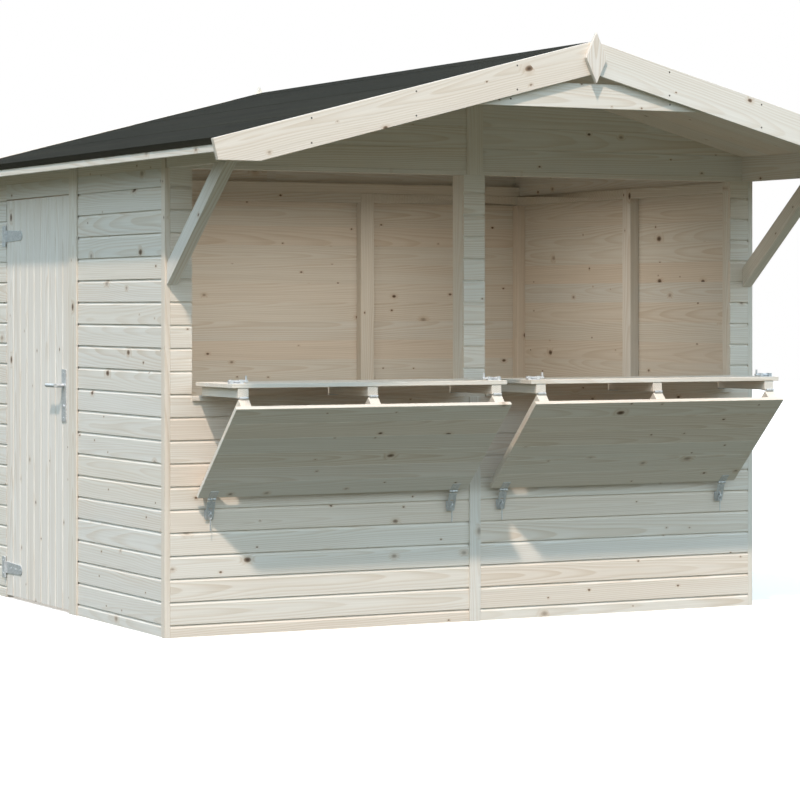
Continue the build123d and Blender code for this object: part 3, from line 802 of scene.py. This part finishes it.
def wire_link(radius, stretch, turn, drop):
    """A long link of wire that hangs with its upper bend a drop below the origin."""
    deselect_all()
    bpy.ops.mesh.primitive_torus_add(major_segments=link_bends, minor_segments=wire_sides,
                                     major_radius=radius, minor_radius=clip_wire,
                                     location=down * (radius + drop), rotation=(pi / 2, 0, turn))
    link = bpy.context.object
    settle(link)
    move_where(link, lambda spot: spot.z < -radius - drop - touch, down * stretch)
    return link


def set_out(pattern, name, body, seats, material=steel):
    """Copy a small piece to each seat, a place and the way that it looks, and join the copies."""
    copies = []
    for place, way in seats:
        copy = pattern.copy()
        copy.data = pattern.data.copy()
        bpy.context.scene.collection.objects.link(copy)
        copy.location = place
        if way != up:
            copy.rotation_euler = way.to_track_quat("Z", "Y").to_euler()
        settle(copy)
        copies.append(copy)
    fit(join(copies, name), body, "galvanised_steel", material)


def seats_on(node, way, shares, inside=None):
    """Places on each plate of a node, as shares of half its size from its middle."""
    seats = []
    for middle, half in plates(node, way):
        if inside is None or (middle - inside).dot(way) > 0:
            seats += [(middle + half * Vector(share), way) for share in shares]
    return seats


screw_shares = (screw_rim_share, screw_dome_share, screw_socket_share)
screw = round_head("screw", screw_radius, screw_rise, *screw_shares)
flush_screw = round_head("flush_screw", screw_radius, flush_rise, *screw_shares)
nail = round_head("nail", nail_radius, nail_rise, nail_rim_share, nail_dome_share)
lock = join([round_head("lock", lock_radius, lock_rise, lock_rim_share, lock_dome_share),
             block("lock_slot", -lock_slot / 2 + up * lock_rise, lock_slot / 2 + up * lock_rise)], "lock")

set_out(screw, "door_strap_screws", "door", seats_on("door_straps", left, strap_shares))
set_out(screw, "door_plate_screws", "stall", seats_on("door_hinge_plates", left, pair_upright_shares))
set_out(screw, "staple_screws", "stall", seats_on("staple_plates", front, staple_shares))
set_out(screw, "sill_hinge_screws", "stall", seats_on("sill_hinges", up, pair_along_shares))
for way, face in ((left, "outer"), (right, "inner")):
    set_out(screw, f"door_handle_screws_{face}", "door", seats_on("door_handle", way, handle_shares))
    set_out(lock, f"door_lock_{face}", "door", seats_on("door_handle", way, lock_shares))
for side in sides:
    flap_low, flap_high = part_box(f"flap_board_{side}")
    flap_middle = (flap_low + flap_high) / 2
    flap_out = flap_falls[side].cross(right)
    flap_seats = [seat for way in (flap_out, -flap_out)
                  for seat in seats_on(f"flap_hinges_{side}", way, pair_along_shares, flap_middle)]
    set_out(flush_screw, f"flap_screws_{side}", f"flap_{side}", flap_seats)
    counter_seats = seats_on(f"counter_hinges_{side}", down, pair_along_shares)
    set_out(screw, f"counter_screws_{side}", f"counter_{side}", counter_seats)
    bolt_seats = seats_on(f"counter_bolts_{side}", up, bolt_shares)
    set_out(screw, f"bolt_screws_{side}", f"counter_{side}", bolt_seats)

# Nails in the barge boards and the collar
nail_seats = []
for node, end, side in barges:
    low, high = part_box(node)
    spots = places(frame["nodes"][node].data)
    ridge_end = spots[abs(spots[:, 0]) < touch][:, 2]
    face, way = (low.y, front) if end == "front" else (high.y, back)
    for reach in barge_nail_places:
        for level in (ridge_end.max() - barge_nail_inset, ridge_end.min() + barge_nail_inset):
            across = reach if side == "right" else -reach
            nail_seats.append((Vector((across, face, level - reach * roof_slope)), way))
nail_seats += seats_on("collar_board", front, collar_shares)
set_out(nail, "barge_nails", "stall", nail_seats, nail_iron)

# A wire clip hangs in each staple's eye and keeps the hasp on it
ring_fall = 2 * clip_ring_radius + clip_ring_stretch - 2 * clip_wire
clip = join([wire_link(clip_ring_radius, clip_ring_stretch, 0, clip_drop),
             wire_link(clip_loop_radius, clip_loop_stretch, clip_loop_turn, clip_drop + ring_fall)], "clip")
clip_seats = []
for low, high in solids("hasp_staples"):
    half_tongue = (high.z - low.z) / 2
    clip_seats.append((Vector(((low.x + high.x) / 2, low.y + half_tongue, low.z + half_tongue)), up))
set_out(clip, "staple_clips", "stall", clip_seats)

for pattern in (screw, flush_screw, nail, lock, clip):
    bpy.data.objects.remove(pattern)

# Roofing felt in lapped widths
for side in sides:
    node = f"roof_felt_{side}"
    piece = copy_of(node, f"{node}_widths")
    low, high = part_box(node)
    spots = places(frame["nodes"][node].data)
    ridge = Vector((0, 0, high.z))
    outermost = spots[abs(spots[:, 0]).argmax()][0]
    eave = Vector((outermost, 0, spots[abs(spots[:, 0] - outermost) < touch][:, 2].max()))
    fall = (eave - ridge).normalized()
    upright = Vector((-fall.z, 0, fall.x)) if fall.x > 0 else Vector((fall.z, 0, -fall.x))
    for lap in felt_laps:
        for line in (lap, lap + felt_lap_run):
            cut(piece, ridge + fall * line, fall)
    for lap in felt_laps:
        def below(spot, edge=lap + felt_lap_run / 2):
            """True for the top face's places that lie down the slope from a lap."""
            place = spot - ridge
            return place.dot(fall) > edge and place.dot(upright) > -felt_top_depth
        move_where(piece, below, upright * -felt_lap_step)
    fit(piece, "stall", "roofing_felt", felt, node)

# The stage: floor, sky, sun, a light in the room and the camera
deselect_all()
bpy.ops.mesh.primitive_plane_add(size=floor_side, location=(0, 0, 0))
ground = bpy.context.object
ground.name = "floor"
ground.data.materials.append(pale_floor())

scene = bpy.context.scene
scene.view_settings.view_transform = "Standard"

sky = Tree(bpy.data.worlds.new("soft_sky"))
scene.world = sky.owner
sky_way = sky.node("SeparateXYZ", {"Vector": sky.node("TexCoord").outputs["Generated"]}).outputs
sky_light = sky.nodes["Background"]
sky.put(sky.ramp(sky_way["Z"], sky_stops), sky_light.inputs["Color"])
sky.put(sky.math("MULTIPLY_ADD", sky_way["Y"], sky_lean, sky_strength), sky_light.inputs["Strength"])
sky_seen = sky.node("Background", {"Color": white})
sky_ray = sky.node("LightPath").outputs["Is Camera Ray"]
sky_mix = sky.node("MixShader", {0: sky_ray, 1: sky_light.outputs[0], 2: sky_seen.outputs[0]})
sky.put(sky_mix.outputs[0], sky.nodes["World Output"].inputs["Surface"])

sun_data = bpy.data.lights.new("sun", "SUN")
sun_data.energy = sun_strength
sun_data.angle = sun_spread
sun_data.color = sun_colour
sun = bpy.data.objects.new("sun", sun_data)
sun.rotation_euler = sun_way.normalized().to_track_quat("Z", "Y").to_euler()
scene.collection.objects.link(sun)

room_light_data = bpy.data.lights.new("room_light", "AREA")
room_light_data.shape = "RECTANGLE"
room_light_data.size = room_light_width
room_light_data.size_y = room_light_depth
room_light_data.energy = room_light_power
room_light_data.color = room_light_colour
room_light = bpy.data.objects.new("room_light", room_light_data)
room_light.location = room_light_place
room_light.visible_camera = False
scene.collection.objects.link(room_light)

camera_data = bpy.data.cameras.new("camera")
camera_data.lens = camera_lens
camera_data.shift_y = camera_shift_share
camera = bpy.data.objects.new("camera", camera_data)
camera.location = camera_place
camera.rotation_euler = (pi / 2, 0, camera_turn)
scene.collection.objects.link(camera)
scene.camera = camera
